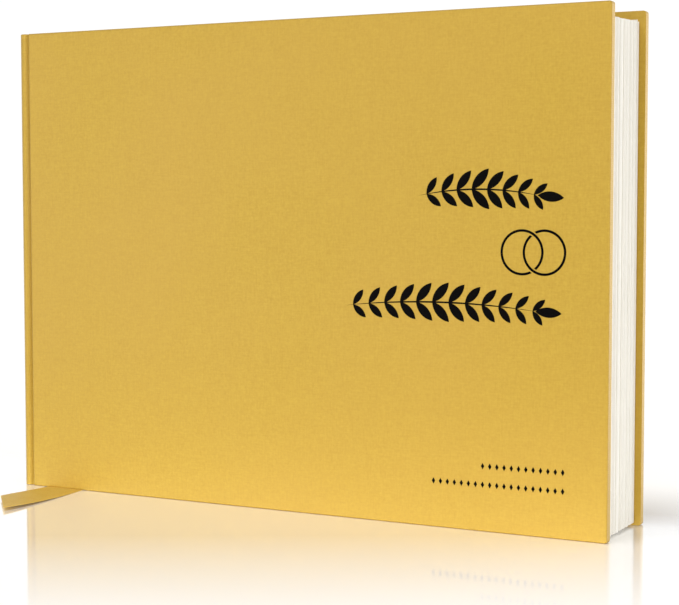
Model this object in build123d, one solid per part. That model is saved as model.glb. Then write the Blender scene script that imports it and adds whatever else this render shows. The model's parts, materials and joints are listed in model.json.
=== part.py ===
from build123d import *
import os
from math import atan2, degrees

# A landscape guest book with a hard case binding, standing upright on the foot of its covers.
# +X runs along the width, from the spine to the fore-edge. The front cover faces -Y. +Z is up.
# The origin is the middle of the book's footprint, on the surface that it stands on.
# Sizes are in millimetres.

# ---- the leaves -------------------------------------------------------------------------------
page_width = 279.4
page_height = 203.2
leaf_thickness = 0.3
leaf_gap = 0.05  # air between two turning leaves
turning_leaves = 4  # single leaves that turn with each cover, under its flyleaf
leaf_bend = 2.3  # the flyleaf bends this far from the folds, where the glue ends
leaf_stagger = 0.3  # and each leaf under it bends this much further out
guard_clearance = 0.05
signature_count = 8
signature_thickness = 4.1
fold_radius = 1.2

# ---- the covers -------------------------------------------------------------------------------
square = 2.8  # how far the covers stand past the leaves
board_thickness = 3.0
cloth_thickness = 0.4
turn_in = 15.0
cover_edge_radius = 0.8
cover_corner_radius = 1.2
pastedown_thickness = 0.2
pastedown_margin = 3.5  # cloth that shows round the pastedown
pastedown_fit = 0.1
pastedown_inset = 0.3  # the pastedown stops short of the board's spine edge
endpaper_gap = 0.15  # air between a pastedown and its flyleaf

# ---- the spine and the joints -----------------------------------------------------------------
spine_board_thickness = 1.8
spine_turn_in = 12.0
spine_hem_inset = 1.2  # the turned-in cloth leaves room for the joints beside it
spine_hollow = 0.5
shoulder_recess = 0.6  # the spine's edge lies this far inside the face of the covers
spine_edge_radius = 1.5
lining_thickness = 0.3
mull_thickness = 0.3
lining_margin = 8.0
joint_gap = 2.4  # from the folds to the cover's cloth
joint_return = 2.4  # how deep the cover's cloth turns into the joint
joint_slack = 0.35
joint_depth = 2.8
joint_lip = 0.5  # the strip leaves the spine's edge this much lower
joint_slope = (0.4, 0.2, 0.1, 0.75)  # how far its four bends stand from its middle
hinge_inside = 0.1  # the cover turns about a line this far inside its outer face
hinge_from_cover = 0.3

# ---- sewing, bands and ribbon -----------------------------------------------------------------
thread_radius = 0.3
thread_length = 14.0
thread_stations = 4
thread_margin = 26.0
band_radius = 1.0
band_tape_thickness = 0.3
band_tape_length = 10.0
band_bite = 0.2  # the bead is let into its tape by this much
ribbon_width = 22.0
ribbon_thickness = 0.2
ribbon_slot = 0.4
ribbon_after_signature = 3
ribbon_from_spine = 13.0
ribbon_bend_radius = 1.2
ribbon_lift = 0.05
ribbon_reach_short = 39.0
ribbon_reach_long = 58.0
ribbon_sway = 4.0  # how far the free end drifts towards the fore-edge
ribbon_bow = 0.45  # the share of the reach where the free end drifts most

# ---- the print on the front cover -------------------------------------------------------------
print_thickness = 0.05
print_margin = 17.5  # from the fore-edge to the right end of every line
upper_sprig = (64.0, 136.0, 8)  # length, height of its middle above the foot, pairs of leaves
lower_sprig = (98.0, 90.5, 12)
sprig_leaf = (11.0, 4.0)
sprig_rise = 2.6
sprig_spread = 47.0  # angle from the stem to a leaf
sprig_taper = 0.35  # the first and last leaves are smaller by this share
sprig_fullest = 0.45  # where along the stem the leaves are largest
sprig_first = 0.6  # the first pair stands this share of a step from the stem's end
sprig_tip_overlap = 0.98
stem_width = 0.7
ring_height = 112.5
ring_radius = 8.6
ring_width = 1.0
ring_offset = 9.4
ring_crossing_gap = 0.5
mark_size = (1.5, 2.6)
mark_rows = ((12, 26.5), (19, 19.0))  # marks in a row, and the row's height above the foot
mark_pitch = 3.1

# ---- what follows from those sizes ------------------------------------------------------------
spine_stack = cloth_thickness + spine_board_thickness + cloth_thickness + spine_hollow
fold_x = spine_stack + lining_thickness + mull_thickness
width = fold_x + page_width + square
height = page_height + 2 * square
cover_stack = 2 * cloth_thickness + board_thickness + pastedown_thickness
leaf_pitch = leaf_thickness + leaf_gap
leaf_layers = (turning_leaves + 1) * leaf_pitch
block_stack = signature_count * signature_thickness + ribbon_slot
thickness = 2 * (cover_stack + endpaper_gap + leaf_layers) + block_stack
leaf_foot = square
leaf_head = square + page_height
leaf_edge = fold_x + page_width
block_front = cover_stack + endpaper_gap + leaf_layers
ribbon_y = block_front + ribbon_after_signature * signature_thickness + ribbon_slot / 2
cover_start = fold_x + joint_gap
board_start = cover_start + cloth_thickness
hinge_x = cover_start - hinge_from_cover

# Points are given from the book's own corner: x from the outside of the spine, y from the outer
# face of the front cover, z from the foot. These two numbers move them to the origin.
left = -width / 2
front = -thickness / 2


def slab(x0, x1, y0, y1, z0, z1):
    middle = ((x0 + x1) / 2 + left, (y0 + y1) / 2 + front, (z0 + z1) / 2)
    return Pos(*middle) * Box(x1 - x0, y1 - y0, z1 - z0)


def prism(points, z0, z1):
    outline = [(x + left, y + front) for x, y in points]
    return Pos(0, 0, z0) * extrude(make_face(Polyline(outline, close=True)), z1 - z0)


def to_rear(shape):
    return mirror(shape, Plane.XZ)


def save(name, shape):
    export_step(shape, f"parts/{name}.step")
    print(name, "solids", len(shape.solids()), "volume", round(shape.volume, 1))


# ---- the covers -------------------------------------------------------------------------------
def rounded_cover(shape, corner_radius, edge_radius):
    corners = shape.edges().filter_by(Axis.Y).group_by(Axis.X)[-1]
    shape = fillet(corners, corner_radius)
    outer_face = shape.faces().sort_by(Axis.Y)[0]
    return fillet(outer_face.edges(), edge_radius)


def cover_board():
    board = slab(
        board_start, width - cloth_thickness,
        cloth_thickness, cloth_thickness + board_thickness,
        cloth_thickness, height - cloth_thickness,
    )
    corner = cover_corner_radius - cloth_thickness
    return rounded_cover(board, corner, cover_edge_radius - cloth_thickness)


def cover_cloth():
    inner_face = 2 * cloth_thickness + board_thickness
    wrap = slab(cover_start, width, 0, inner_face, 0, height)
    wrap = rounded_cover(wrap, cover_corner_radius, cover_edge_radius)
    window = slab(
        cover_start - 1, width - turn_in,
        inner_face - cloth_thickness, inner_face + 1,
        turn_in, height - turn_in,
    )
    open_joint = slab(cover_start - 1, board_start, joint_return, inner_face + 1, -1, height + 1)
    return wrap - cover_board() - window - open_joint


def pastedown():
    inner_face = 2 * cloth_thickness + board_thickness
    start = board_start + pastedown_inset
    sheet = slab(
        start, width - pastedown_margin,
        inner_face, inner_face + pastedown_thickness,
        pastedown_margin, height - pastedown_margin,
    )
    hem = turn_in + pastedown_fit
    infill = slab(start, width - hem, inner_face - cloth_thickness, inner_face, hem, height - hem)
    return sheet + infill


def ribbon_dent():
    near = ribbon_from_spine - 2 * ribbon_slot
    far = ribbon_from_spine + ribbon_width + 2 * ribbon_slot
    inner_face = 2 * cloth_thickness + board_thickness
    return slab(near, far, -1, inner_face + 1, -1, ribbon_thickness + 2 * ribbon_lift)


# ---- the leaves -------------------------------------------------------------------------------
def leaf_bend_x(layer):
    return fold_x + leaf_bend + layer * leaf_stagger


def leaf_face_y(layer):
    return cover_stack + endpaper_gap + layer * leaf_pitch


def turning_leaf(layer):
    y = leaf_face_y(layer)
    return slab(leaf_bend_x(layer), leaf_edge, y, y + leaf_thickness, leaf_foot, leaf_head)


def guard():
    steps = []
    for layer in range(turning_leaves + 1):
        y = leaf_face_y(layer)
        end = leaf_bend_x(layer) - guard_clearance
        steps.append(slab(fold_x, end, y, y + leaf_pitch, leaf_foot, leaf_head))
    return steps[0].fuse(*steps[1:]).clean()


def signature_y(index):
    slot = ribbon_slot if index >= ribbon_after_signature else 0
    return block_front + index * signature_thickness + slot


def signature(index):
    y = signature_y(index)
    body = slab(fold_x, leaf_edge, y, y + signature_thickness, leaf_foot, leaf_head)
    return fillet(body.edges().filter_by(Axis.Z).group_by(Axis.X)[0], fold_radius)


# ---- the spine --------------------------------------------------------------------------------
def spine_board():
    inset = shoulder_recess + cloth_thickness
    board = slab(
        cloth_thickness, cloth_thickness + spine_board_thickness,
        inset, thickness - inset,
        cloth_thickness, height - cloth_thickness,
    )
    return fillet(board.edges().filter_by(Axis.Z).group_by(Axis.X)[0], spine_edge_radius)


def spine_cloth():
    inner = cloth_thickness + spine_board_thickness
    wrap = slab(0, inner, shoulder_recess, thickness - shoulder_recess, 0, height)
    outer_edges = wrap.edges().filter_by(Axis.Z).group_by(Axis.X)[0]
    wrap = fillet(outer_edges, spine_edge_radius + cloth_thickness)
    inset = shoulder_recess + cloth_thickness
    hem_y = inset + spine_hem_inset
    for foot in (0, height - spine_turn_in):
        hem = slab(inner, inner + cloth_thickness, hem_y, thickness - hem_y, foot, foot + spine_turn_in)
        wrap = wrap + hem
    return wrap - spine_board()


def joint_cloth():
    """The strip that dips from the spine's edge into the groove beside the cover."""
    start = cloth_thickness + spine_board_thickness
    end = cover_start - joint_slack
    middle = (start + end) / 2
    top = shoulder_recess
    upper_out, lower_out, lower_in, upper_in = joint_slope
    outer = [
        (start, top),
        (middle - upper_out, top + joint_lip),
        (middle + lower_out, joint_depth - joint_lip),
        (end, joint_depth - cloth_thickness),
    ]
    inner = [
        (end, joint_depth),
        (middle - lower_in, joint_depth - lower_in),
        (middle - upper_in, top + cloth_thickness + joint_lip),
        (start, top + cloth_thickness),
    ]
    return prism(outer + inner, 0, height)


def spine_lining():
    start = spine_stack
    foot = leaf_foot + lining_margin
    head = leaf_head - lining_margin
    return slab(start, start + lining_thickness, block_front, thickness - block_front, foot, head)


def mull():
    start = spine_stack + lining_thickness
    foot = leaf_foot + lining_margin
    head = leaf_head - lining_margin
    side = cover_stack + endpaper_gap
    return slab(start, start + mull_thickness, side, thickness - side, foot, head)


def sewing_thread():
    """Link stitches that lie in the valleys between the signatures' folds."""
    span = page_height - 2 * thread_margin
    stitches = []
    for index in range(1, signature_count):
        if index == ribbon_after_signature:
            continue
        y = signature_y(index) + front
        for station in range(thread_stations):
            z = leaf_foot + thread_margin + station * span / (thread_stations - 1)
            place = Pos(fold_x + thread_radius + left, y, z)
            stitches.append(place * Cylinder(thread_radius, thread_length))
    return Compound(children=stitches)


def end_band(bead_z, tongue_z0, tongue_z1):
    """A bead across the ends of the leaves, on a tape that is glued to the spine lining."""
    side = cover_stack + endpaper_gap
    bead_x = spine_stack - band_bite + band_radius + left
    bead = Pos(bead_x, 0, bead_z) * Rot(90, 0, 0) * Cylinder(band_radius, thickness - 2 * side)
    tape = slab(spine_stack - band_tape_thickness, spine_stack, side, thickness - side, tongue_z0, tongue_z1)
    return (tape + bead).clean()


def headband():
    centre = leaf_head + band_radius
    return end_band(centre, leaf_head - band_tape_length, centre)


def tailband():
    centre = leaf_foot - band_radius
    return end_band(centre, centre, leaf_foot + band_tape_length)


# ---- the ribbon -------------------------------------------------------------------------------
def ribbon_marker():
    """The part between the leaves: down to the foot, and folded to the spine at the head."""
    y0 = ribbon_y - ribbon_thickness / 2
    y1 = ribbon_y + ribbon_thickness / 2
    far = ribbon_from_spine + ribbon_width
    head = leaf_head - 1
    band = slab(ribbon_from_spine, far, y0, y1, leaf_foot, head)
    tab = slab(fold_x, far, y0, y1, head - ribbon_width, head)
    return (band + tab).clean()


def ribbon_tail():
    """The free end: it turns forward under the leaves and lies in front of the book."""
    half = ribbon_thickness / 2
    near = ribbon_from_spine + left
    far = near + ribbon_width
    level = ribbon_lift + half
    centre_y = ribbon_y - ribbon_bend_radius
    centre_z = level + ribbon_bend_radius
    ring = Cylinder(ribbon_bend_radius + half, ribbon_width)
    ring = ring - Cylinder(ribbon_bend_radius - half, ribbon_width)
    ring = Pos((near + far) / 2, centre_y + front, centre_z) * Rot(0, 90, 0) * ring
    reach = ribbon_bend_radius + 1
    bend = ring & slab(
        ribbon_from_spine, ribbon_from_spine + ribbon_width,
        centre_y, centre_y + reach, centre_z - reach, centre_z,
    )
    drop = slab(
        ribbon_from_spine, ribbon_from_spine + ribbon_width,
        ribbon_y - half, ribbon_y + half, centre_z, leaf_foot,
    )
    start = centre_y + front
    inside = front + cover_stack
    long_end = (far + ribbon_sway / 3, front - ribbon_reach_long)
    short_end = (near + ribbon_sway, front - ribbon_reach_short)
    long_middle = (far + ribbon_sway, front - ribbon_reach_long * ribbon_bow)
    short_middle = (near + ribbon_sway, front - ribbon_reach_short * ribbon_bow)
    outline = [
        Line((near, inside), (near, start)),
        Line((near, start), (far, start)),
        Line((far, start), (far, inside)),
        ThreePointArc((far, inside), long_middle, long_end),
        Line(long_end, short_end),
        ThreePointArc(short_end, short_middle, (near, inside)),
    ]
    lying = Pos(0, 0, ribbon_lift) * extrude(make_face(outline), ribbon_thickness)
    return (lying + bend + drop).clean()


# ---- the print --------------------------------------------------------------------------------
def cover_plane(height_above_foot):
    right_end = width - print_margin + left
    return Plane(origin=(right_end, front, height_above_foot), x_dir=(1, 0, 0), z_dir=(0, -1, 0))


def stamp(faces, height_above_foot):
    """Foil of the given faces, whose origin is the right-hand end of a line of print."""
    plane = cover_plane(height_above_foot)
    solids = [extrude(plane * face, print_thickness) for face in faces]
    return solids[0].fuse(*solids[1:]).clean() if len(solids) > 1 else solids[0]


def lens(length, breadth):
    upper = ThreePointArc((0, 0), (length / 2, breadth / 2), (length, 0))
    lower = ThreePointArc((length, 0), (length / 2, -breadth / 2), (0, 0))
    return make_face([upper, lower])


def sprig(length, pairs):
    """A stem that ends at the right in a leaf, with pairs of leaves along it."""
    leaf_length, leaf_breadth = sprig_leaf
    stem_length = length - leaf_length
    rise = sprig_rise

    def stem_point(share):
        return (-length + stem_length * share, rise * 4 * share * (1 - share) - rise / 2)

    ends = stem_point(0), stem_point(1)
    middle = stem_point(0.5)
    upper = ThreePointArc(ends[0], (middle[0], middle[1] + stem_width / 2), ends[1])
    lower = ThreePointArc(ends[1], (middle[0], middle[1] - stem_width / 2), ends[0])
    faces = [make_face([upper, lower])]
    end_slope = -degrees(atan2(4 * rise, stem_length))
    tip_x, tip_y = stem_point(sprig_tip_overlap)
    faces.append(Pos(tip_x, tip_y) * Rot(0, 0, end_slope / 2) * lens(leaf_length, leaf_breadth))
    for index in range(pairs):
        share = (index + sprig_first) / pairs
        x, y = stem_point(share)
        slope = degrees(atan2(4 * rise * (1 - 2 * share), stem_length))
        size = 1 - 2 * sprig_taper * abs(share - sprig_fullest)
        for side in (1, -1):
            leaf = lens(leaf_length * size, leaf_breadth * size)
            faces.append(Pos(x, y) * Rot(0, 0, slope + side * sprig_spread) * leaf)
    return faces


def annulus(x, outer, inner):
    return Pos(x, 0) * (Circle(outer) - Circle(inner))


def rings():
    """Two linked rings: each passes over the other at one of the two crossings."""
    reach = ring_radius + ring_width / 2
    right_x = -reach
    left_x = right_x - ring_offset
    inner = ring_radius - ring_width / 2
    gap = ring_crossing_gap
    upper_half = Pos(0, reach) * Rectangle(8 * reach, 2 * reach)
    lower_half = Pos(0, -reach) * Rectangle(8 * reach, 2 * reach)
    right_ring = annulus(right_x, reach, inner) - (annulus(left_x, reach + gap, inner - gap) & upper_half)
    left_ring = annulus(left_x, reach, inner) - (annulus(right_x, reach + gap, inner - gap) & lower_half)
    return [right_ring, left_ring]


def marks(count):
    half_width = mark_size[0] / 2
    half_height = mark_size[1] / 2
    shape = [(half_width, 0), (0, half_height), (-half_width, 0), (0, -half_height)]
    mark = make_face(Polyline(shape, close=True))
    return [Pos(-half_width - index * mark_pitch, 0) * mark for index in range(count)]


def mark_lines():
    solids = []
    for count, row_height in mark_rows:
        plane = cover_plane(row_height)
        solids += [extrude(plane * face, print_thickness) for face in marks(count)]
    return Compound(children=solids)


def ring_print():
    plane = cover_plane(ring_height)
    solids = []
    for face in rings():
        solids += extrude(plane * face, print_thickness).solids()
    return Compound(children=solids)


# ---- write every piece ------------------------------------------------------------------------
def main():
    os.makedirs("parts", exist_ok=True)
    dent = ribbon_dent()
    save("front_board", cover_board())
    save("rear_board", to_rear(cover_board()))
    save("front_cover_cloth", cover_cloth() - dent)
    save("rear_cover_cloth", to_rear(cover_cloth()))
    save("front_pastedown", pastedown())
    save("rear_pastedown", to_rear(pastedown()))
    save("front_flyleaf", turning_leaf(0))
    save("rear_flyleaf", to_rear(turning_leaf(0)))
    for layer in range(1, turning_leaves + 1):
        save(f"front_leaf_{layer}", turning_leaf(layer))
        save(f"rear_leaf_{layer}", to_rear(turning_leaf(layer)))
    save("front_guard", guard())
    save("rear_guard", to_rear(guard()))
    for index in range(signature_count):
        save(f"signature_{index + 1}", signature(index))
    save("spine_board", spine_board())
    save("spine_cloth", spine_cloth())
    save("front_joint_cloth", joint_cloth())
    save("rear_joint_cloth", to_rear(joint_cloth()))
    save("spine_lining", spine_lining())
    save("mull", mull())
    save("sewing_thread", sewing_thread())
    save("headband", headband())
    save("tailband", tailband())
    save("ribbon_marker", ribbon_marker())
    save("ribbon_tail", ribbon_tail())
    save("upper_sprig_print", stamp(sprig(upper_sprig[0], upper_sprig[2]), upper_sprig[1]))
    save("rings_print", ring_print())
    save("lower_sprig_print", stamp(sprig(lower_sprig[0], lower_sprig[2]), lower_sprig[1]))
    save("marks_print", mark_lines())
    print("book", round(width, 2), "x", round(thickness, 2), "x", round(height, 2))
    print("hinge x", round(hinge_x + left, 3), "y", round(front + hinge_inside, 3))
    for layer in range(turning_leaves + 1):
        x = leaf_bend_x(layer) + left
        y = leaf_face_y(layer) + front
        print("leaf layer", layer, "hinge x", round(x, 3), "y", round(y, 3))


main()
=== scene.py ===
# %% [markdown]
# # A landscape guest book that stands on the foot of its covers
#
# A guest book has a hard case: two boards and a narrow spine board, all covered by one piece of
# book cloth. The cloth dips between the spine and each board, and that dip is the hinge that a
# cover turns on. Inside the case sits the block, which is a stack of folded bundles of paper
# called signatures.
#
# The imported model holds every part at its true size. The looks could be modelled from nothing,
# but then sizes would drift and the hinges would miss their lines. So this script loads the model
# as a fixed frame, gives each part its finish, and swaps the plain solids whose real shape is
# softer or finer.

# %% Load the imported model
import json
import math

import bmesh
import bpy
from mathutils import Matrix, Vector

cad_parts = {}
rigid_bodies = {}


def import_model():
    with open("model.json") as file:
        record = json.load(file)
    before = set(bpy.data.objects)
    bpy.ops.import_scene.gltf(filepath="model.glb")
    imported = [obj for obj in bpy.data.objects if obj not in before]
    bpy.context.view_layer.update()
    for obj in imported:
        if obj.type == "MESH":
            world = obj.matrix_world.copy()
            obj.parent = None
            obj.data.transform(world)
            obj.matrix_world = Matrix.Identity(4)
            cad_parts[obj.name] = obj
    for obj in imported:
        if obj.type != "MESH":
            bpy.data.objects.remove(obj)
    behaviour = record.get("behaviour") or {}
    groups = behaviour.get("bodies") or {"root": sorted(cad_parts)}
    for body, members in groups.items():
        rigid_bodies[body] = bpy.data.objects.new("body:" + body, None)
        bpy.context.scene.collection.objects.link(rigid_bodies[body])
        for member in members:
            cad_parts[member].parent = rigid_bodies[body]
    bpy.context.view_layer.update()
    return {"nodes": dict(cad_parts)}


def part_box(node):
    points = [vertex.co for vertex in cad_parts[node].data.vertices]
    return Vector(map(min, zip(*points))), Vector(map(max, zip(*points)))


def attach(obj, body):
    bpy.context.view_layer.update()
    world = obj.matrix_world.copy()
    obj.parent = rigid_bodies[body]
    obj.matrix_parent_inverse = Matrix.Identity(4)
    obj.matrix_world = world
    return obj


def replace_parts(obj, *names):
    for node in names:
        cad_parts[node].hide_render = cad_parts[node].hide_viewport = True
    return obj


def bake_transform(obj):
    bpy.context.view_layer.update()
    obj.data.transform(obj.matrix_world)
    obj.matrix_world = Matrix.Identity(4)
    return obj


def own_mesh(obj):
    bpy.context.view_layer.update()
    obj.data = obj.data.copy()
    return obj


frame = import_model()
nodes = frame["nodes"]

# %% [markdown]
# ## The book's own measure
#
# A binder measures from the corner of the book: how far from the outside of the spine, how deep
# from the face of the front cover, how high above the foot. Every piece could have its own sums
# in scene coordinates instead. But the book is the same from both faces, so one function turns
# such a measure into a point for the front half or, mirrored, for the rear half.

# %% The corner of the book and a point on it
MM = 0.001
cover_low, cover_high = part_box("front_cover_cloth")
height = cover_high.z / MM
half_thickness = -cover_low.y / MM
spine_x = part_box("spine_cloth")[0].x / MM
FRONT, REAR = -1, 1


def point(side, across, depth, up):
    """A point in metres, from millimetres: depth is from that side's cover face."""
    return Vector(((spine_x + across) * MM, side * (half_thickness - depth) * MM, up * MM))


print("book", round(cover_high.x / MM - spine_x, 2), 2 * half_thickness, height)

# %% [markdown]
# ## The camera
#
# The book is seen a little from its fore-edge side, from two thirds of its height, through a long
# lens, so that its upright edges stay nearly parallel. A camera can be aimed by a constraint, but
# a matrix of its place, turn, tilt and roll says exactly how it stands.

# %% Camera
LENS = 89.21
SENSOR_WIDTH = 36.0
CAMERA_PLACE = (0.3588, -0.6381, 0.1352)
TURNED, TILTED, ROLLED = (math.radians(angle) for angle in (28.44, 86.33, -0.03))

camera_data = bpy.data.cameras.new("camera")
camera_data.lens = LENS
camera_data.sensor_width = SENSOR_WIDTH
camera = bpy.data.objects.new("camera", camera_data)
bpy.context.collection.objects.link(camera)
turn = Matrix.Rotation(TURNED, 4, "Z")
tilt = Matrix.Rotation(TILTED, 4, "X")
roll = Matrix.Rotation(ROLLED, 4, "Z")
camera.matrix_world = Matrix.Translation(CAMERA_PLACE) @ turn @ tilt @ roll
bpy.context.scene.camera = camera
bpy.context.scene.view_settings.view_transform = "Standard"
print("camera at", tuple(round(c, 3) for c in camera.location))

# %% [markdown]
# ## Sums on node sockets
#
# Shader patterns are small sums: a sine of a coordinate, a product of two masks. Written as nodes
# they are long, so a wire wraps one socket and lets Python's operators add the Math nodes. The
# same class serves the shape trees further down, because both kinds of tree share their Math
# node.

# %% Wires and node trees


class Wire:
    """One output socket. Sums with numbers or other wires add Math nodes to its tree."""

    def __init__(self, maker, socket):
        self.maker = maker
        self.socket = socket

    def math(self, operation, *others):
        return self.maker.node("ShaderNodeMath", {"operation": operation}, [self, *others])

    def __add__(self, other):
        return self.math("ADD", other)

    def __sub__(self, other):
        return self.math("SUBTRACT", other)

    def __rsub__(self, other):
        return self.maker.node("ShaderNodeMath", {"operation": "SUBTRACT"}, [other, self])

    def __mul__(self, other):
        return self.math("MULTIPLY", other)

    def __truediv__(self, other):
        return self.math("DIVIDE", other)

    def __gt__(self, other):
        return self.math("GREATER_THAN", other)

    __radd__ = __add__
    __rmul__ = __mul__


class Maker:
    """Adds nodes to one tree."""

    def __init__(self, tree):
        self.tree = tree

    def node(self, kind, settings=None, values=(), output=0):
        made = self.tree.nodes.new(kind)
        for name, value in (settings or {}).items():
            setattr(made, name, value)
        pairs = values.items() if isinstance(values, dict) else enumerate(values)
        for key, value in pairs:
            socket = made.inputs[key]
            if isinstance(value, Wire):
                self.tree.links.new(value.socket, socket)
            else:
                socket.default_value = value
        return Wire(self, made.outputs[output])

    def vector(self, x, y, z):
        return self.node("ShaderNodeCombineXYZ", values=[x, y, z])


print("sums on wires", Wire.__add__.__name__, Wire.__mul__.__name__, Wire.__gt__.__name__)

# %% [markdown]
# ## Finishes
#
# A painted image could give a cloth or a paper its look, but it blurs close up and needs
# unwrapping. Every finish here is one Principled shader with a pattern made by sums. Its
# constants are set straight on the shader, and patterns feed only its colour, its roughness and a
# bump. Patterns read object coordinates, so they stay put on the part and keep their true size in
# millimetres.

# %% A finish and its pattern helpers


class Finish(Maker):
    """A material of one Principled shader, and the nodes of its pattern."""

    def __init__(self, name, **constants):
        self.material = bpy.data.materials.new(name)
        self.material.use_nodes = True
        super().__init__(self.material.node_tree)
        self.shader = self.tree.nodes["Principled BSDF"]
        for socket, value in constants.items():
            self.shader.inputs[socket.replace("_", " ")].default_value = value

    def coordinates(self, uv=None):
        """Three wires, in millimetres: object coordinates, or a UV map's."""
        if uv:
            place = self.node("ShaderNodeUVMap", {"uv_map": uv})
        else:
            place = self.node("ShaderNodeTexCoord", output="Object")
        scale = {0: place, "Scale": 1 / MM}
        place = self.node("ShaderNodeVectorMath", {"operation": "SCALE"}, scale)
        split = self.tree.nodes.new("ShaderNodeSeparateXYZ")
        self.tree.links.new(place.socket, split.inputs[0])
        return [Wire(self, socket) for socket in split.outputs]

    def noise(self, place, scale, detail=2.0):
        return self.node(
            "ShaderNodeTexNoise", values={"Vector": place, "Scale": scale, "Detail": detail}
        )

    def spread(self, value, low, high, to_low, to_high):
        limits = {0: value, 1: low, 2: high, 3: to_low, 4: to_high}
        return self.node("ShaderNodeMapRange", values=limits)

    def mix(self, share, first, second):
        """A colour between two: share 0 is the first."""
        settings = {"data_type": "RGBA", "clamp_factor": True}
        return self.node("ShaderNodeMix", settings, {0: share, 6: first, 7: second}, output=2)

    def paint(self, colour=None, roughness=None, bump=None, bump_depth=0.1):
        wires = {"Base Color": colour, "Roughness": roughness}
        if bump is not None:
            values = {"Height": bump, "Distance": bump_depth * MM, "Strength": 1.0}
            wires["Normal"] = self.node("ShaderNodeBump", values=values)
        for name, wire in wires.items():
            if wire is not None:
                self.tree.links.new(wire.socket, self.shader.inputs[name])
        return self.material


def linear_light(value):
    """The linear strength of one 0-255 value that a colour picker shows."""
    return value / 255 / 12.92 if value < 11 else ((value / 255 + 0.055) / 1.055) ** 2.4


def colour(red, green, blue):
    return (linear_light(red), linear_light(green), linear_light(blue), 1.0)


def weave(finish, along, across, pitch):
    """Height of a plain weave: each thread goes over one and under the next."""
    turns = math.pi / pitch
    first = (along * turns).math("SINE")
    second = (across * turns).math("SINE")
    over = (first * second) > 0.0
    warp = first.math("ABSOLUTE")
    weft = second.math("ABSOLUTE")
    return warp * over + weft * (1.0 - over)


print("middle grey in linear light", round(linear_light(128), 3))

# %% [markdown]
# ## Gold book cloth
#
# The case is covered in a fine satin cloth with a pearly gold coat. Close up it is a plain weave
# of thin threads, some a little thicker or paler than their neighbours. From a step away only a
# faint grain is left. The coat gives a soft sheen, and broad paler patches painted into the
# colour add a painted sheen that wanders across the cover. Threads could be real geometry, but
# at this size only a bump and a change of tone can be seen, so the weave is a pattern.

# %% Gold cloth
THREAD_PITCH = 0.42
SLUB_LENGTHWISE, SLUB_CROSSWISE = 0.25, 2.2


def gold_cloth():
    finish = Finish(
        "gold_book_cloth",
        Specular_IOR_Level=0.35,
        Metallic=0.3,
        Coat_Weight=0.25,
        Coat_Roughness=0.35,
        Sheen_Weight=0.05,
        Sheen_Roughness=0.4,
    )
    x, y, z = finish.coordinates()
    along = x + y
    threads = weave(finish, along, z - y, THREAD_PITCH)
    long, thin = SLUB_LENGTHWISE, SLUB_CROSSWISE
    slub_across = finish.noise(finish.vector(x * long, y * long, z * thin), 1.0)
    slub_up = finish.noise(finish.vector(x * thin, y * thin, z * long), 1.0)
    slubs = slub_across * 0.5 + slub_up * 0.5
    mottle = finish.noise(finish.vector(x, y, z), 0.9, 4.0)
    # Painted sheen: a broad noise mixes a paler gold into the colour, standing in for the pearly
    # sheen of the coat.
    painted_sheen = finish.noise(finish.vector(x, y, z), 0.012, 1.0)
    deep = colour(177, 139, 33)
    pale = colour(197, 162, 52)
    tone = slubs * 0.45 + mottle * 0.35 + threads * 0.2
    gold = finish.mix(finish.spread(tone, 0.3, 0.7, 0.0, 1.0), deep, pale)
    gold = finish.mix(finish.spread(painted_sheen, 0.35, 0.65, 0.0, 0.25), gold, colour(192, 152, 60))
    roughness = finish.spread(tone, 0.3, 0.7, 0.5, 0.4)
    return finish.paint(gold, roughness, threads * 0.6 + slubs * 0.4, 0.05)


gold = gold_cloth()
print("finish", gold.name)

# %% [markdown]
# ## Paper
#
# The leaves are a smooth, warm white, heavy paper with faint fibres. The lining is brown kraft
# paper and the boards are grey, and both have the same kind of fibre, so one function makes them
# all. On the edges of the stack each leaf catches the light differently. Stripes in the pattern
# could show that, but they would not follow the leaves, so a number stored on each leaf gives its
# tone.

# %% Paper finishes


def paper(name, light, dark, cut_edge=False):
    finish = Finish(name, Roughness=0.75)
    x, y, z = finish.coordinates()
    fibres = finish.noise(finish.vector(x * 0.5, y, z), 1.6, 5.0)
    cloud = finish.noise(finish.vector(x, y, z), 0.05, 2.0)
    tone = fibres * 0.5 + cloud * 0.5
    if cut_edge:
        leaf = finish.node("ShaderNodeAttribute", {"attribute_name": "leaf_tone"}, output="Fac")
        tone = tone * 0.3 + leaf * 0.7
    shade = finish.mix(finish.spread(tone, 0.2, 0.8, 0.0, 1.0), dark, light)
    return finish.paint(shade, None, fibres, 0.02)


white_paper = paper("white_paper", colour(246, 243, 235), colour(240, 235, 224))
leaf_paper = paper("leaf_paper", colour(247, 244, 236), colour(224, 218, 204), cut_edge=True)
kraft_paper = paper("kraft_lining", colour(176, 138, 96), colour(150, 112, 72))
greyboard = paper("greyboard", colour(150, 146, 138), colour(120, 115, 106))
print("paper finishes", white_paper.name, leaf_paper.name, kraft_paper.name, greyboard.name)

# %% [markdown]
# ## Gauze, thread, silk and ribbon
#
# The mull that holds the folds is an open gauze. The thread is waxed linen, twisted. The end
# bands are silk in two colours, picked by a number stored on each turn. The ribbon is satin,
# whose fine ribs run across its width. Object coordinates would cut through the ribbon where it
# bends, so its free end has a map of its own, and the ribs follow that.

# %% Textile finishes
GAUZE_PITCH = 0.8
RIB_PITCH = 0.35
FULL_TURN = 2 * math.pi


def mull_gauze():
    finish = Finish("mull_gauze", Roughness=0.85)
    x, y, z = finish.coordinates()
    threads = weave(finish, y + x, z, GAUZE_PITCH)
    hollow, strand = colour(176, 168, 148), colour(240, 236, 224)
    shade = finish.mix(finish.spread(threads, 0.3, 0.8, 0.0, 1.0), hollow, strand)
    return finish.paint(shade, None, threads, 0.12)


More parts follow.
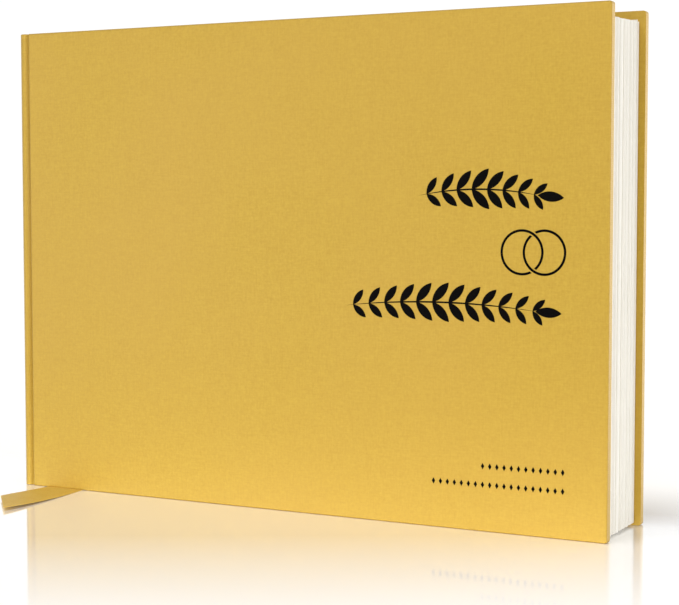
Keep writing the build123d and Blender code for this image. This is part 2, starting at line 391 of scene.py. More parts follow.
def linen_thread():
    finish = Finish("linen_thread", Roughness=0.6, Sheen_Weight=0.3)
    y, z = finish.coordinates()[1:]
    twist = ((z + y * 1.5) * FULL_TURN).math("SINE")
    groove, strand = colour(214, 206, 186), colour(244, 240, 228)
    shade = finish.mix(finish.spread(twist, -1.0, 1.0, 0.0, 1.0), groove, strand)
    return finish.paint(shade, None, twist, 0.05)


def band_silk():
    finish = Finish("band_silk", Roughness=0.4, Sheen_Weight=0.4, Sheen_Roughness=0.3)
    stripe = finish.node("ShaderNodeAttribute", {"attribute_name": "stripe"}, output="Fac")
    x, y, z = finish.coordinates()
    strands = finish.noise(finish.vector(x * 0.6, y * 6.0, z * 0.6), 2.0, 3.0)
    cream = finish.mix(strands, colour(226, 214, 184), colour(246, 238, 216))
    golden = finish.mix(strands, colour(176, 132, 48), colour(212, 170, 84))
    return finish.paint(finish.mix(stripe, cream, golden), None, strands, 0.04)


def satin_ribbon(name, uv=None):
    """Satin with ribs across the ribbon. Its own UV map is in metres, across and then along."""
    finish = Finish(name, Specular_IOR_Level=0.12)
    first, second, third = finish.coordinates(uv)
    across, along = (first, second) if uv else (first, third)
    ribs = (along * (FULL_TURN / RIB_PITCH)).math("SINE")
    filaments = finish.noise(finish.vector(across * 5.0, along * 0.4, 0.0), 1.0, 2.0)
    cloud = finish.noise(finish.vector(across, along, 0.0), 0.12, 2.0)
    tone = filaments * 0.5 + cloud * 0.3 + ribs * 0.1 + 0.1
    deep, pale = colour(236, 194, 82), colour(250, 219, 118)
    shade = finish.mix(finish.spread(tone, 0.25, 0.75, 0.0, 1.0), deep, pale)
    roughness = finish.spread(tone, 0.25, 0.75, 0.55, 0.42)
    return finish.paint(shade, roughness, ribs * 0.5 + filaments, 0.03)


mull = mull_gauze()
thread = linen_thread()
silk = band_silk()
marker_satin = satin_ribbon("marker_satin")
ribbon_satin = satin_ribbon("ribbon_satin", uv="ribbon")
print("textiles", mull.name, thread.name, silk.name, marker_satin.name, ribbon_satin.name)

# %% [markdown]
# ## Black foil
#
# The decoration is stamped into the cloth with black foil. It has a low gloss, and the weave
# under it still shows through as a faint bump, so it reads the same weave as the cloth. Its black
# is a little uneven where the foil lies thinner.

# %% Foil


def black_foil():
    finish = Finish("black_foil", Specular_IOR_Level=0.03)
    x, y, z = finish.coordinates()
    threads = weave(finish, x + y, z - y, THREAD_PITCH)
    wear = finish.noise(finish.vector(x, y, z), 1.5, 3.0)
    black, worn = colour(3, 2, 2), colour(10, 8, 7)
    shade = finish.mix(finish.spread(wear, 0.35, 0.75, 0.0, 1.0), black, worn)
    return finish.paint(shade, finish.spread(wear, 0.3, 0.7, 0.5, 0.36), threads, 0.03)


foil = black_foil()
print("finish", foil.name)

# %% [markdown]
# ## Parts whose shape is already right
#
# The boards, the cover cloth, the pastedowns, the print, the lining, the mull and the stitches
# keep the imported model's own shape, because their sizes matter and their edges are already
# rounded there. Copies of them would only add weight. They keep their meshes and only get their
# finish.

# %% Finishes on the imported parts
finish_of = {
    gold: ["front_cover_cloth", "rear_cover_cloth"],
    greyboard: ["front_board", "rear_board", "spine_board"],
    white_paper: ["front_pastedown", "rear_pastedown", "front_guard", "rear_guard"],
    kraft_paper: ["spine_lining"],
    mull: ["mull"],
    thread: ["sewing_thread"],
    marker_satin: ["ribbon_marker"],
    foil: ["upper_sprig_print", "rings_print", "lower_sprig_print", "marks_print"],
}
for material, names in finish_of.items():
    for name in names:
        for slot in nodes[name].material_slots:
            slot.material = material
print("finished parts", sum(len(names) for names in finish_of.values()))

# %% [markdown]
# ## A new piece
#
# A piece can be bent and moved into place with modifiers and a transform, but patterns that read
# object coordinates would then move with it. So pieces are made from lists of points and faces,
# in place, and each object stays at the origin. Their normals are turned outwards once all their
# points are there, and edges sharper than fifty degrees stay crisp under smooth shading.

# %% Making a piece
CRISP_EDGE = math.radians(50)
MERGE_DISTANCE = 1e-7


def piece_from(name, points, faces, material, slot, smooth=True):
    mesh = bpy.data.meshes.new(name)
    mesh.from_pydata([tuple(p) for p in points], [], faces)
    shell = bmesh.new()
    shell.from_mesh(mesh)
    bmesh.ops.remove_doubles(shell, verts=shell.verts, dist=MERGE_DISTANCE)
    bmesh.ops.recalc_face_normals(shell, faces=shell.faces)
    shell.to_mesh(mesh)
    shell.free()
    mesh.materials.append(material)
    for face in mesh.polygons:
        face.use_smooth = smooth
    mesh.set_sharp_from_angle(angle=CRISP_EDGE)
    piece = bpy.data.objects.new(name, mesh)
    bpy.context.collection.objects.link(piece)
    return piece


def skin(loops):
    """Points and faces of a tube through loops of equal length, with closed ends."""
    count = len(loops[0])
    points = [p for loop in loops for p in loop]
    faces = []
    for row in range(len(loops) - 1):
        for column in range(count):
            following = (column + 1) % count
            a, b = row * count + column, row * count + following
            faces.append((a, b, b + count, a + count))
    faces.append(tuple(range(count)))
    faces.append(tuple(range(len(points) - count, len(points))))
    return points, faces


print("faces of a square tube", len(skin([[0, 1, 2, 3], [4, 5, 6, 7]])[1]))

# %% [markdown]
# ## The cloth of the spine and the joints
#
# On a real case one piece of cloth runs from the front board over the spine to the rear board. It
# rolls over the edge of the spine board, dips into the joint and climbs to the cover's edge. When
# the cover opens, only the last step of that dip moves.
#
# A flat sheet with Solidify could be bent to that shape, but its turned-in ends would be missing.
# So each half is a section that is swept across the joint. At head and foot the cloth is turned
# in, so it ends in a rounded fold and is thicker there.

# %% Spine and joint cloth
CLOTH = 0.4
FOLD_RADIUS = CLOTH * 0.9
TURN_IN = 12.0
SPINE_BOARD = 1.8
SPINE_EDGE_RADIUS = 2.7
SHOULDER = 0.6
BACK_DEPTHS = (half_thickness, 17.0, 12.0, 8.0, 5.0)
# The line that the roll's inner points lie on, an ellipse round the edge of the spine board.
CORE_CENTRE = (2.3, 1.4)
CORE_HALF_AXES = (0.3, 1.9)
# From the shoulder into the dip and up to the cover's edge: across, depth, and inward direction.
JOINT_DIP = (
    (3.2, 0.64, -0.1, 0.99),
    (3.65, 0.82, -0.3, 0.95),
    (4.1, 1.2, -0.45, 0.89),
    (4.5, 1.7, -0.5, 0.87),
    (4.85, 2.05, -0.2, 0.98),
    (5.2, 2.15, 0.45, 0.89),
    (6.26, 1.8, -0.2, 0.98),
)
# Two distances across the joint, at the bend between the cloth on the block and the cloth on the
# cover.
CLOTH_BEND = (5.65, 6.0)


def half_spine_profile():
    """(across, depth, inward direction, depth of the core it wraps) from the spine's middle."""
    stations = [(0.0, depth, 1.0, 0.0, SPINE_BOARD) for depth in BACK_DEPTHS]
    for step in range(10):
        angle = math.radians(10 * step)
        x = SPINE_EDGE_RADIUS - SPINE_EDGE_RADIUS * math.cos(angle)
        y = SHOULDER + SPINE_EDGE_RADIUS - SPINE_EDGE_RADIUS * math.sin(angle)
        core_x = CORE_CENTRE[0] + CORE_HALF_AXES[0] * math.cos(angle)
        core_y = CORE_CENTRE[1] + CORE_HALF_AXES[1] * math.cos(angle)
        inside = Vector((core_x - x, core_y - y))
        inward = inside.normalized()
        stations.append((x, y, inward.x, inward.y, inside.length - 2 * CLOTH))
    return stations + [(*station, 0.0) for station in JOINT_DIP]


def fold_section(core):
    """(inset from the outer face, height) round one section: a strip with folded ends."""
    deep = core + 2 * CLOTH
    outer_foot = []
    for degrees in (90, 60, 30, 0):
        angle = math.radians(degrees)
        inset = FOLD_RADIUS - FOLD_RADIUS * math.cos(angle)
        outer_foot.append((inset, FOLD_RADIUS - FOLD_RADIUS * math.sin(angle)))
    inner_foot = [(deep - inset, up) for inset, up in reversed(outer_foot)]
    foot = inner_foot + outer_foot
    head = [(inset, height - up) for inset, up in reversed(foot)]
    steps = [(deep, height - TURN_IN), (core + CLOTH, height - TURN_IN)]
    steps += [(core + CLOTH, TURN_IN), (deep, TURN_IN)]
    return foot + head + steps


def half_case_cloth(name, side):
    loops = []
    for across, depth, inward_x, inward_y, core in half_spine_profile():
        loop = []
        for inset, up in fold_section(core):
            loop.append(point(side, across + inward_x * inset, depth + inward_y * inset, up))
        loops.append(loop)
    cloth = piece_from(name, *skin(loops), gold, "gold_cloth")
    start, end = (point(side, across, 2, 0) for across in CLOTH_BEND)
    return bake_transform(cloth)


front_case = half_case_cloth("front_spine_and_joint_cloth", FRONT)
rear_case = half_case_cloth("rear_spine_and_joint_cloth", REAR)
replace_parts(front_case, "spine_cloth", "front_joint_cloth")
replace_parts(rear_case, "rear_joint_cloth")
print("case cloth faces", len(front_case.data.polygons), len(rear_case.data.polygons))

# %% [markdown]
# ## The endpaper's hinge
#
# The pastedown and the flyleaf are one folded sheet. Where it crosses the joint it is a narrow
# strip of paper. A rigid strip would leave a gap when the cover opens; this one is a rigid sheet
# of four rows, from the block to the cover's edge.

# %% Endpaper hinges
LEAF_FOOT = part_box("front_flyleaf")[0].z / MM
LEAF_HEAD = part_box("front_flyleaf")[1].z / MM
HINGE_INSET = 0.7
# (across, depth) of the strip's outer face, then of its inner face, from the block to the cover
HINGE_ROWS = (
    ((3.74, 3.98), (3.74, 4.13)),
    ((5.65, 3.98), (5.65, 4.13)),
    ((6.0, 3.84), (5.96, 3.97)),
    ((6.92, 3.88), (6.86, 3.97)),
)
PAPER_BEND = (5.75, 5.94)


def endpaper_hinge(name, side):
    foot, head = LEAF_FOOT + HINGE_INSET, LEAF_HEAD - HINGE_INSET
    loops = []
    for outer, inner in HINGE_ROWS:
        corners = [(outer, foot), (outer, head), (inner, head), (inner, foot)]
        loops.append([point(side, across, depth, up) for (across, depth), up in corners])
    strip = piece_from(name, *skin(loops), white_paper, "white_paper", smooth=False)
    start, end = (point(side, across, 4, 0) for across in PAPER_BEND)
    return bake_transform(strip)


front_hinge_paper = endpaper_hinge("front_endpaper_hinge", FRONT)
rear_hinge_paper = endpaper_hinge("rear_endpaper_hinge", REAR)
print("endpaper hinges", front_hinge_paper.name, rear_hinge_paper.name)

# %% [markdown]
# ## Trees for shapes that repeat
#
# A stack of leaves and a wound end band are the same small shape many times over. A Python loop
# could copy it, but a Geometry Nodes tree does it faster and shows its sizes as named inputs, and
# anything random has a fixed seed. The result is turned into a plain mesh at once, so nothing is
# left to evaluate later.

# %% Shape trees


class ShapeTree(Maker):
    """A Geometry Nodes tree whose inputs have names and starting values."""

    KINDS = {int: "NodeSocketInt", float: "NodeSocketFloat"}

    def __init__(self, name, **inputs):
        super().__init__(bpy.data.node_groups.new(name, "GeometryNodeTree"))
        self.given = inputs
        self.ids = {}
        interface = self.tree.interface
        interface.new_socket("Geometry", in_out="OUTPUT", socket_type="NodeSocketGeometry")
        for label, value in inputs.items():
            kind = self.KINDS[type(value)]
            socket = interface.new_socket(label, in_out="INPUT", socket_type=kind)
            self.ids[label] = socket.identifier
        self.entry = self.tree.nodes.new("NodeGroupInput")
        self.exit = self.tree.nodes.new("NodeGroupOutput")

    def given_wire(self, label):
        return Wire(self, self.entry.outputs[label])

    def random(self, low, high, seed):
        values = {2: low, 3: high, "Seed": seed}
        return self.node("FunctionNodeRandomValue", {"data_type": "FLOAT"}, values, output=1)

    def moved(self, geometry, offset):
        values = {"Geometry": geometry, "Translation": offset}
        return self.node("GeometryNodeTransform", values=values)

    def numbered(self, instances, name, value):
        """Stores one number on each instance, for a finish to read."""
        settings = {"data_type": "FLOAT", "domain": "INSTANCE"}
        values = {"Geometry": instances, "Name": name, "Value": value}
        return self.node("GeometryNodeStoreNamedAttribute", settings, values)

    def close(self, geometry, material):
        real = self.node("GeometryNodeRealizeInstances", values=[geometry])
        dressed = self.node("GeometryNodeSetMaterial", values={0: real, 2: material})
        self.tree.links.new(dressed.socket, self.exit.inputs[0])

    def mesh(self, name, **changes):
        holder = bpy.data.objects.new(name, bpy.data.meshes.new(name))
        bpy.context.collection.objects.link(holder)
        modifier = holder.modifiers.new("shape", "NODES")
        modifier.node_group = self.tree
        for label, value in {**self.given, **changes}.items():
            modifier[self.ids[label]] = value
        bpy.context.view_layer.update()
        shaped = holder.evaluated_get(bpy.context.evaluated_depsgraph_get())
        mesh = bpy.data.meshes.new_from_object(shaped)
        holder.modifiers.remove(modifier)
        holder.data = mesh
        mesh.name = name
        return holder


print("inputs of a tree can be", [kind.__name__ for kind in ShapeTree.KINDS])

# %% [markdown]
# ## The signatures
#
# A signature is a bundle of folded sheets. From the fore-edge it shows as a band of thin leaves
# with a slightly darker line at each side, where two bundles meet and the gap between them is in
# shade; that shade is painted into the tone of the outermost leaves. The leaves never line up
# perfectly: each wanders by a tenth of a millimetre. Towards the fold the outer leaves start
# later, so that the back of the bundle is round.
#
# A striped picture on a solid block could fake the leaves, but their ends would be flat in a
# close view. One tree makes a bundle instead: a row of points through its thickness, one thin
# leaf on each.

# %% The tree for one signature
first_low, first_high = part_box("signature_1")
LEAVES = 13
LEAF_POINTS = 15
PACKED = 0.97
LEAF_OF_PITCH = 0.86
GAP_SHADE_AT_SIDE = 0.3


def signature_tree():
    tree = ShapeTree(
        "signature_leaves",
        Leaves=LEAVES,
        Width=float(first_high.x - first_low.x),
        Height=float(first_high.z - first_low.z),
        Thickness=float(first_high.y - first_low.y),
        Start_X=float(first_low.x),
        Start_Y=float(first_low.y),
        Start_Z=float(first_low.z),
        Fold_Radius=1.2 * MM,
        Wander=0.1 * MM,
        Sag=0.0,
        Seed=1,
    )
    leaves, width, tall = (tree.given_wire(label) for label in ("Leaves", "Width", "Height"))
    thick, seed = tree.given_wire("Thickness"), tree.given_wire("Seed")
    pitch = thick * PACKED / leaves
    row = {"Count": leaves, "Offset": tree.vector(0.0, pitch, 0.0)}
    rows = tree.node("GeometryNodeMeshLine", values=row)
    size = tree.vector(1.0, pitch * LEAF_OF_PITCH, tall)
    block = {"Size": size, "Vertices X": LEAF_POINTS, "Vertices Y": 2, "Vertices Z": 2}
    leaf = tree.node("GeometryNodeMeshCube", values=block)
    leaf = tree.moved(leaf, tree.vector(0.5, pitch * 0.5, tall * 0.5))
    index = tree.node("GeometryNodeInputIndex")
    from_low = (index + 0.5) * pitch
    from_side = from_low.math("MINIMUM", thick * PACKED - from_low)
    radius = tree.given_wire("Fold_Radius")
    into_curve = (radius - from_side).math("MAXIMUM", 0.0)
    start = radius - (radius * radius - into_curve * into_curve).math("SQRT")
    wander = tree.given_wire("Wander")
    edge = tree.random(-1.0, 0.0, seed) * wander
    reach = tree.vector(width - start + edge, 1.0, 1.0)
    values = {"Points": rows, "Instance": leaf, "Scale": reach}
    placed = tree.node("GeometryNodeInstanceOnPoints", values=values)
    shift = tree.vector(start, 0.0, tree.random(-0.5, 0.5, seed + 50) * wander)
    values = {"Instances": placed, "Translation": shift}
    placed = tree.node("GeometryNodeTranslateInstances", values=values)
    at_side = from_side.math("LESS_THAN", pitch)
    # Painted shade: the outermost leaf at each side of a bundle is darker, for the shade in the
    # gap where two bundles meet.
    tone = tree.random(0.25, 1.0, seed + 100) - at_side * GAP_SHADE_AT_SIDE
    placed = tree.numbered(placed, "leaf_tone", tone)
    real = tree.node("GeometryNodeRealizeInstances", values=[placed])
    here = tree.tree.nodes.new("ShaderNodeSeparateXYZ")
    tree.tree.links.new(tree.node("GeometryNodeInputPosition").socket, here.inputs[0])
    out = Wire(tree, here.outputs[0]) / width
    drop = out * out * tree.given_wire("Sag") * -1.0
    values = {"Geometry": real, "Offset": tree.vector(0.0, 0.0, drop)}
    real = tree.node("GeometryNodeSetPosition", values=values)
    corner = tree.vector(*(tree.given_wire(label) for label in ("Start_X", "Start_Y", "Start_Z")))
    real = tree.moved(real, corner)
    tree.close(real, leaf_paper)
    return tree


signature_leaves = signature_tree()
print("tree", signature_leaves.tree.name, "nodes", len(signature_leaves.tree.nodes))

# %% [markdown]
# A heavy block hangs from its spine, so the bundles slip down a little towards their fore-edge,
# the front ones most. Each could be turned as a whole, but paper bends instead, so the drop grows
# with the square of the way out. Each bundle is made from the same tree, with its own place, seed
# and sag.

# %% The eight signatures
SEED_STEP = 7
SAG_OF_SIGNATURE = (2.3, 2.2, 2.05, 2.1, 1.95, 1.85, 1.9, 1.7)
for number, sag in enumerate(SAG_OF_SIGNATURE, start=1):
    name = f"signature_{number}"
    low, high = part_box(name)
    changes = {"Start_Y": float(low.y), "Sag": float(sag * MM), "Seed": number * SEED_STEP}
    bundle = signature_leaves.mesh(f"{name}_leaves", **changes)
    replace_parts(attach(bundle, "book_block"), name)
print("signature faces", len(bundle.data.polygons))

# %% [markdown]
# ## The turning leaves
#
# The leaves nearest each cover turn with it, in a fan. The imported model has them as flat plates,
# but beside a sagging block they would stand proud of it. So each is a thin sheet with enough
# steps along its width to follow the same sag as the bundles beside it.

# %% Turning leaves
STEPS = 14
TURNING_LEAVES = ("flyleaf", "leaf_1", "leaf_2", "leaf_3", "leaf_4")
SAG_OF_TURNING_LEAF = {
    "front": (2.3, 2.35, 2.35, 2.35, 2.35),
    "rear": (1.6, 1.6, 1.65, 1.65, 1.7),
}


def turning_leaf(name, sag):
    low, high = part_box(name)
    loops = []
    for step in range(STEPS + 1):
        share = step / STEPS
        x = low.x + (high.x - low.x) * share
        drop = sag * MM * share * share
        corners = [(low.y, low.z), (high.y, low.z), (high.y, high.z), (low.y, high.z)]
        loops.append([(x, y, z - drop) for y, z in corners])
    leaf = piece_from(f"{name}_sheet", *skin(loops), white_paper, "white_paper", smooth=False)
    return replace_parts(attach(leaf, name), name)


for side, sags in SAG_OF_TURNING_LEAF.items():
    for name, sag in zip(TURNING_LEAVES, sags):
        sheet = turning_leaf(f"{side}_{name}", sag)
print("turning leaves, last", sheet.name)

# %% [markdown]
# ## The end bands
#
# At head and foot of the spine a band hides the ends of the folds. It is a cord wound with silk
# in two colours, on a strip of tape. One long helix would be truer to the winding, but at this
# size its turns look like rings. So the tree repeats a ring of silk along a line, tilted a little
# as a turn would be, and each pair of turns changes colour.

# %% The tree for an end band
BEAD_RADIUS = 1.0 * MM
TAPE_THICKNESS = 0.3 * MM
QUARTER_TURN = math.radians(90)
WINDING_TILT = math.radians(4)
TURNS_OF_BOTH_COLOURS = 4.0


def band_tree(tape_low, tape_high):
    tree = ShapeTree(
        "wound_end_band",
        Turns=72,
        Length=0.03,
        Bead_Radius=BEAD_RADIUS,
        Silk_Radius=0.24 * MM,
        Bead_X=0.0,
        Bead_Z=0.0,
        Tape_Foot=0.0,
        Tape_Head=0.01,
    )
    names = ("Turns", "Length", "Bead_Radius", "Silk_Radius", "Bead_X", "Bead_Z")
    turns, length, bead, silk_radius, bead_x, bead_z = (tree.given_wire(label) for label in names)
    pitch = length / turns
    core_radius = bead - silk_radius
    circle = "GeometryNodeCurvePrimitiveCircle"
    ring_line = tree.node(circle, values={"Resolution": 16, "Radius": core_radius})
    strand = tree.node(circle, values={"Resolution": 6, "Radius": silk_radius})
    ring = tree.node("GeometryNodeCurveToMesh", values=[ring_line, strand])
    row = {
        "Count": turns,
        "Start Location": tree.vector(bead_x, (length - pitch) * -0.5, bead_z),
        "Offset": tree.vector(0.0, pitch, 0.0),
    }
    line = tree.node("GeometryNodeMeshLine", values=row)
    tilt = tree.vector(QUARTER_TURN, 0.0, WINDING_TILT)
    values = {"Points": line, "Instance": ring, "Rotation": tilt}
    wound = tree.node("GeometryNodeInstanceOnPoints", values=values)
    index = tree.node("GeometryNodeInputIndex")
    stripe = (index / TURNS_OF_BOTH_COLOURS).math("FRACT") > 0.49
    wound = tree.numbered(wound, "stripe", stripe)
    core_size = {"Vertices": 20, "Radius": core_radius, "Depth": length}
    core = tree.node("GeometryNodeMeshCylinder", values=core_size)
    place = {"Translation": tree.vector(bead_x, 0.0, bead_z), "Rotation": (QUARTER_TURN, 0, 0)}
    core = tree.node("GeometryNodeTransform", values={"Geometry": core, **place})
    foot, head = tree.given_wire("Tape_Foot"), tree.given_wire("Tape_Head")
    size = tree.vector(tape_high - tape_low, length, head - foot)
    block = {"Size": size, "Vertices Y": 2, "Vertices Z": 2}
    tape = tree.node("GeometryNodeMeshCube", values=block)
    middle = tree.vector((tape_low + tape_high) / 2, 0.0, (foot + head) * 0.5)
    tape = tree.moved(tape, middle)
    joined = tree.tree.nodes.new("GeometryNodeJoinGeometry")
    for part in (tape, core, wound):
        tree.tree.links.new(part.socket, joined.inputs[0])
    tree.close(Wire(tree, joined.outputs[0]), silk)
    return tree


tape_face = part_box("headband")[0].x
wound_band = band_tree(tape_face, tape_face + TAPE_THICKNESS)
print("tree", wound_band.tree.name, "nodes", len(wound_band.tree.nodes))

# %% [markdown]
# The band at the head has its bead on top of its tape, and the one at the foot has it underneath.
# A mirrored copy would turn its faces inside out, so each is made from the tree with its own
# heights.

# %% Head band and tail band
for name, bead_on_top in (("headband", True), ("tailband", False)):
    low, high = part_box(name)
    bead_z = high.z - BEAD_RADIUS if bead_on_top else low.z + BEAD_RADIUS
    foot, head = (low.z, bead_z) if bead_on_top else (bead_z, high.z)
    band = wound_band.mesh(
        f"{name}_silk",
        Length=float(high.y - low.y),
        Bead_X=float(high.x - BEAD_RADIUS),
        Bead_Z=float(bead_z),
        Tape_Foot=float(foot),
        Tape_Head=float(head),
    )
    for face in band.data.polygons:
        face.use_smooth = True
    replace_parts(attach(band, "book_block"), name)
print("end band faces", len(band.data.polygons))

# %% [markdown]
# ## The ribbon's free end
#
# A flat satin ribbon comes down between two signatures, turns forward under the leaves and lies
# in front of the book. It was cut at a slant, and its end stands a few millimetres off the table,
# because a ribbon keeps some of the curl from its roll.
#
# A cloth simulation could drop it there, but a short flat ribbon is quicker to lay: each edge is
# a curve pulled by a few control points. Between them is a grid, with stations along the ribbon
# and points across it. Its own map says how far along and across the satin each point lies.

# %% Ribbon
RIBBON_WIDTH = 22.0
RIBBON_THICKNESS = 0.2
marker_low, marker_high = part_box("ribbon_marker")
ribbon_start = marker_high.x / MM - spine_x - RIBBON_WIDTH
slot_depth = half_thickness + (marker_low.y + marker_high.y) / 2 / MM
BEND = 1.2
LEVEL = 0.15
LOWEST = 0.02
COLUMNS = 9
FREE_STEPS = 28
SLOT_STEP = 0.7
UNDER_COVER = (11.0, 7.0, 3.5)
# Control points of the two edges in front of the leaves: shift across, depth and height.
NEAR_PULLS = ((1.5, 1.0, LEVEL), (1.8, -10, 0.2), (1.0, -24, 0.9), (3.2, -35.6, 1.6))
FAR_PULLS = ((-1.0, 1.0, LEVEL), (1.5, -16, 0.2), (3.5, -38, 0.8), (0.5, -56.8, 1.6))


def curve(points, share):
    """A smooth curve through a start and an end, pulled by the control points between them."""
    line = [Vector(p) for p in points]
    while len(line) > 1:
        line = [a.lerp(b, share) for a, b in zip(line, line[1:])]
    return line[0]


def ribbon_edge(near):
    """Points (across, depth, up) along one edge, from the slot under the leaves to the cut end."""
    across = ribbon_start + (0.0 if near else RIBBON_WIDTH)
    rows = [(across, slot_depth, LEAF_FOOT - SLOT_STEP * step) for step in range(3)]
    for degrees in (15, 30, 45, 60, 75, 90):
        angle = math.radians(degrees)
        depth = slot_depth - BEND + BEND * math.cos(angle)
        rows.append((across, depth, LEVEL + BEND - BEND * math.sin(angle)))
    rows += [(across, depth, LEVEL) for depth in UNDER_COVER]
    pulls = NEAR_PULLS if near else FAR_PULLS
    controls = [(across + shift, depth, up) for shift, depth, up in pulls]
    rows += [tuple(curve(controls, step / FREE_STEPS)) for step in range(FREE_STEPS + 1)]
    return rows


def length_of(rows):
    return sum((Vector(a) - Vector(b)).length for a, b in zip(rows, rows[1:]))


def ribbon_rim(rows):
    """The grid's outermost points, in order round it."""
    last_row = (rows - 1) * COLUMNS
    rim = [row * COLUMNS for row in range(rows)]
    rim += [last_row + column for column in range(1, COLUMNS)]
    rim += [row * COLUMNS + COLUMNS - 1 for row in reversed(range(rows - 1))]
    return rim + list(reversed(range(1, COLUMNS - 1)))


def ribbon_tail(near, far):
    """Points, faces and map places of a thin grid between two edges."""
    shares = [column / (COLUMNS - 1) for column in range(COLUMNS)]
    grid = [[Vector(a).lerp(Vector(b), share) for share in shares] for a, b in zip(near, far)]
    lengths = [0.0]
    for before, after in zip(grid, grid[1:]):
        lengths.append(lengths[-1] + (after[COLUMNS // 2] - before[COLUMNS // 2]).length)
    points, faces, places = [], [], []
    for half in (0.5, -0.5):
        for row, line in enumerate(grid):
            before, after = grid[max(row - 1, 0)], grid[min(row + 1, len(grid) - 1)]
            for column, spot in enumerate(line):
                ahead = after[column] - before[column]
                aside = line[min(column + 1, COLUMNS - 1)] - line[max(column - 1, 0)]
                place = spot + aside.cross(ahead).normalized() * half * RIBBON_THICKNESS
                points.append(point(FRONT, place.x, place.y, max(place.z, LOWEST)))
                places.append((shares[column] * RIBBON_WIDTH * MM, lengths[row] * MM))
    size = len(grid) * COLUMNS
    for row in range(len(grid) - 1):
        for column in range(COLUMNS - 1):
            a = row * COLUMNS + column
            b = a + COLUMNS
            faces.append((a, a + 1, b + 1, b))
            faces.append((a + size, b + size, b + size + 1, a + size + 1))
    rim = ribbon_rim(len(grid))
    for here, there in zip(rim, rim[1:] + rim[:1]):
        faces.append((here, there, there + size, here + size))
    return points, faces, places


near_edge, far_edge = ribbon_edge(True), ribbon_edge(False)
ribbon_points, ribbon_faces, ribbon_places = ribbon_tail(near_edge, far_edge)
ribbon = piece_from("ribbon_free_end", ribbon_points, ribbon_faces, ribbon_satin, "ribbon")
ribbon_map = ribbon.data.uv_layers.new(name="ribbon")
for corner in ribbon.data.loops:
    ribbon_map.data[corner.index].uv = ribbon_places[corner.vertex_index]
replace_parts(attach(ribbon, "book_block"), "ribbon_tail")
long_side, short_side = length_of(far_edge), length_of(near_edge)
cut_area = RIBBON_WIDTH * (long_side + short_side) / 2 * MM * MM
long_side * MM
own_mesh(ribbon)
print("ribbon sides", round(long_side, 1), round(short_side, 1), "area", round(cut_area * 1e6, 1))

# %% [markdown]
# ## Table
#
# The table is white with a glossy coat, so the book stands on its own faint mirror image. One
# shader with a coat would mirror everything alike. Here a Mix Shader joins a matt white and a
# gloss, and its factor makes the image fade a hand's breadth in front of the book, and just
# behind it. A little glow keeps the white clean where the room's light runs out.

# %% Table
TABLE_REACH = 3.0
POLISH = 0.06
GLOW = 0.1
# Millimetres out in front of the book, and behind it, over which its mirror image fades.
OUT_X, OUT_Y = 0.48, 0.88
FRONT_FADE = (70.0, 200.0)
REAR_FADE = (half_thickness - 6.0, half_thickness + 24.0)
MIRROR_NEAR, MIRROR_FAR = 0.64, 0.08
PURE_WHITE = (1, 1, 1, 1)


def white_table():
    finish = Finish("white_table")
    x, y, z = finish.coordinates()
    tree = finish.tree
    tree.nodes.remove(finish.shader)
    cloud = finish.noise(finish.vector(x, y, z), 0.01, 1.0)
    white = finish.mix(cloud, (0.97, 0.97, 0.97, 1), PURE_WHITE)
    matt = finish.node("ShaderNodeBsdfDiffuse", values={"Color": white})
    gloss = finish.node("ShaderNodeBsdfGlossy", values={"Color": PURE_WHITE, "Roughness": POLISH})
    out_in_front = x * OUT_X - y * OUT_Y
    share = finish.spread(out_in_front, *FRONT_FADE, MIRROR_NEAR, MIRROR_FAR)
    share = share * finish.spread(y, *REAR_FADE, 1.0, 0.1)
    glow = finish.node("ShaderNodeEmission", values={"Color": PURE_WHITE, "Strength": GLOW})
    matt = finish.node("ShaderNodeAddShader", values=[matt, glow])
    both = finish.node("ShaderNodeMixShader", values={0: share, 1: matt, 2: gloss})
    tree.links.new(both.socket, tree.nodes["Material Output"].inputs["Surface"])
    return finish.material


directions = ((-1, -1), (1, -1), (1, 1), (-1, 1))
corners = [(x * TABLE_REACH, y * TABLE_REACH, 0) for x, y in directions]
table = piece_from("table", corners, [(0, 1, 2, 3)], white_table(), "white_paper", smooth=False)
print("table", table.name)

# %% [markdown]
# ## Light
#
# The book stands in a bright room. A studio could be built from walls and panels, but a world
# colour and a few lamps do the same. The room is white. What it sends to matt surfaces is weaker,
# and weakest from the left, which draws the rolled edge of the spine.
#
# The lamps stand outside the picture. Light linking, which names the objects that a lamp lights
# and the ones that throw its shadow, keeps the lamps for the book off the table. Two of them can
# then shine from under the table's surface, where the cloth picks up the glow of a white table,
# and a cover that opens never meets a lamp. A wide sun throws the book's shadow on the table
# only.

# %% The room
ROOM_LIGHT = 1.03
LESS_ON_MATT = 0.55
MORE_FROM_RIGHT = 0.4
world = bpy.data.worlds.new("room")
world.use_nodes = True
room = Maker(world.node_tree)
matt_ray = room.node("ShaderNodeLightPath", output="Is Diffuse Ray")
direction = world.node_tree.nodes.new("ShaderNodeSeparateXYZ")
generated = room.node("ShaderNodeTexCoord", output="Generated")
world.node_tree.links.new(generated.socket, direction.inputs[0])
from_right = Wire(room, direction.outputs[0])
background = world.node_tree.nodes["Background"]
background.inputs["Color"].default_value = PURE_WHITE
strength = ROOM_LIGHT - matt_ray * (LESS_ON_MATT - from_right * MORE_FROM_RIGHT)
world.node_tree.links.new(strength.socket, background.inputs["Strength"])
bpy.context.scene.world = world
print("room", world.name)

# %% Lamps


def light_group(name, state, *members):
    """A collection that a lamp lights or is blocked by: only its members, or all but them."""
    group = bpy.data.collections.new(name)
    for number, member in enumerate(members):
        group.objects.link(member)
        group.collection_objects[number].light_linking.link_state = state
    return group


all_but_table = light_group("all_but_table", "EXCLUDE", table)
all_but_table_and_ribbon = light_group("all_but_table_and_ribbon", "EXCLUDE", table, ribbon)
table_only = light_group("table_only", "INCLUDE", table)


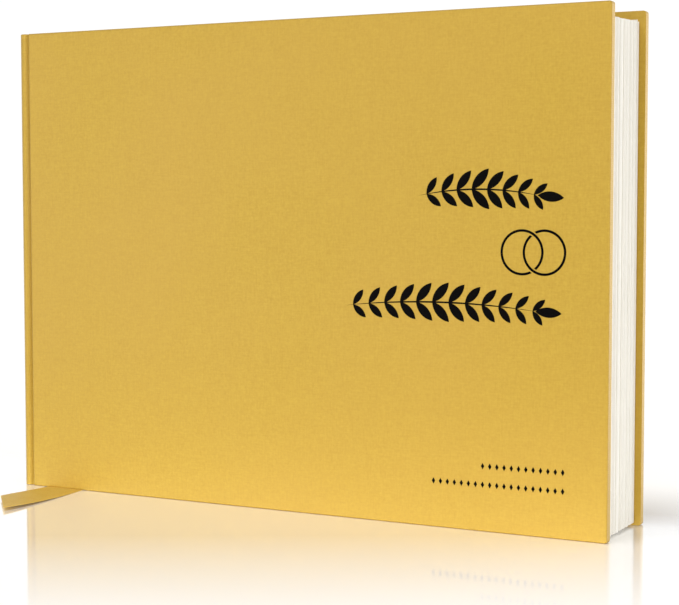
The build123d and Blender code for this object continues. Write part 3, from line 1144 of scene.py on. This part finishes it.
def aimed(place, target):
    """The turn that points a lamp from one place to another."""
    return (Vector(target) - Vector(place)).to_track_quat("-Z", "Y").to_euler()


def lamp(name, place, target, size, power, lights=all_but_table):
    """A panel of a size in metres and a power in watts."""
    data = bpy.data.lights.new(name, "AREA")
    data.shape = "RECTANGLE"
    data.size, data.size_y = size
    data.energy = power
    light = bpy.data.objects.new(name, data)
    bpy.context.collection.objects.link(light)
    light.location = place
    light.visible_camera = False
    light.light_linking.receiver_collection = lights
    light.light_linking.blocker_collection = all_but_table_and_ribbon
    light.rotation_euler = aimed(place, target)
    return light


PANEL = (0.5, 0.5)
MIDDLE = (0.0, 0.0, 0.1)
SUN_DIRECTION = (0.2, 0.3, -1.2)
SUN_STRENGTH = 1.5
SUN_WIDTH = math.radians(25)
foot_glow = {"lights": all_but_table_and_ribbon}
lamp("key_lamp", place=(-0.1, -1.3, 0.9), target=(0.0, 0.0, 0.05), size=PANEL, power=5.0)
lamp("right_lamp", place=(1.3, -1.3, 0.3), target=MIDDLE, size=PANEL, power=5.5)
lamp("edge_lamp", place=(0.52, 0.70, 0.14), target=(0.14, 0.0, 0.1), size=(0.4, 0.5), power=1.3)
lamp(
    "foot_lamp",
    place=(-0.02, -0.09, -0.03),
    target=(-0.02, -0.02, 0.02),
    size=(0.38, 0.03),
    power=0.085,
    **foot_glow,
)
lamp(
    "corner_lamp",
    place=(0.17, -0.09, -0.03),
    target=(0.15, -0.02, 0.02),
    size=(0.12, 0.03),
    power=0.02,
    **foot_glow,
)
shine = lamp("shine_lamp", place=(-0.72, -0.96, 0.12), target=MIDDLE, size=(0.6, 0.5), power=1.7)
shine.visible_diffuse = False
sun_data = bpy.data.lights.new("table_sun", "SUN")
sun_data.energy = SUN_STRENGTH
sun_data.angle = SUN_WIDTH
sun = bpy.data.objects.new("table_sun", sun_data)
bpy.context.collection.objects.link(sun)
sun.rotation_euler = aimed((0, 0, 0), SUN_DIRECTION)
sun.light_linking.receiver_collection = table_only
print("lamps", [light.name for light in bpy.data.lights])
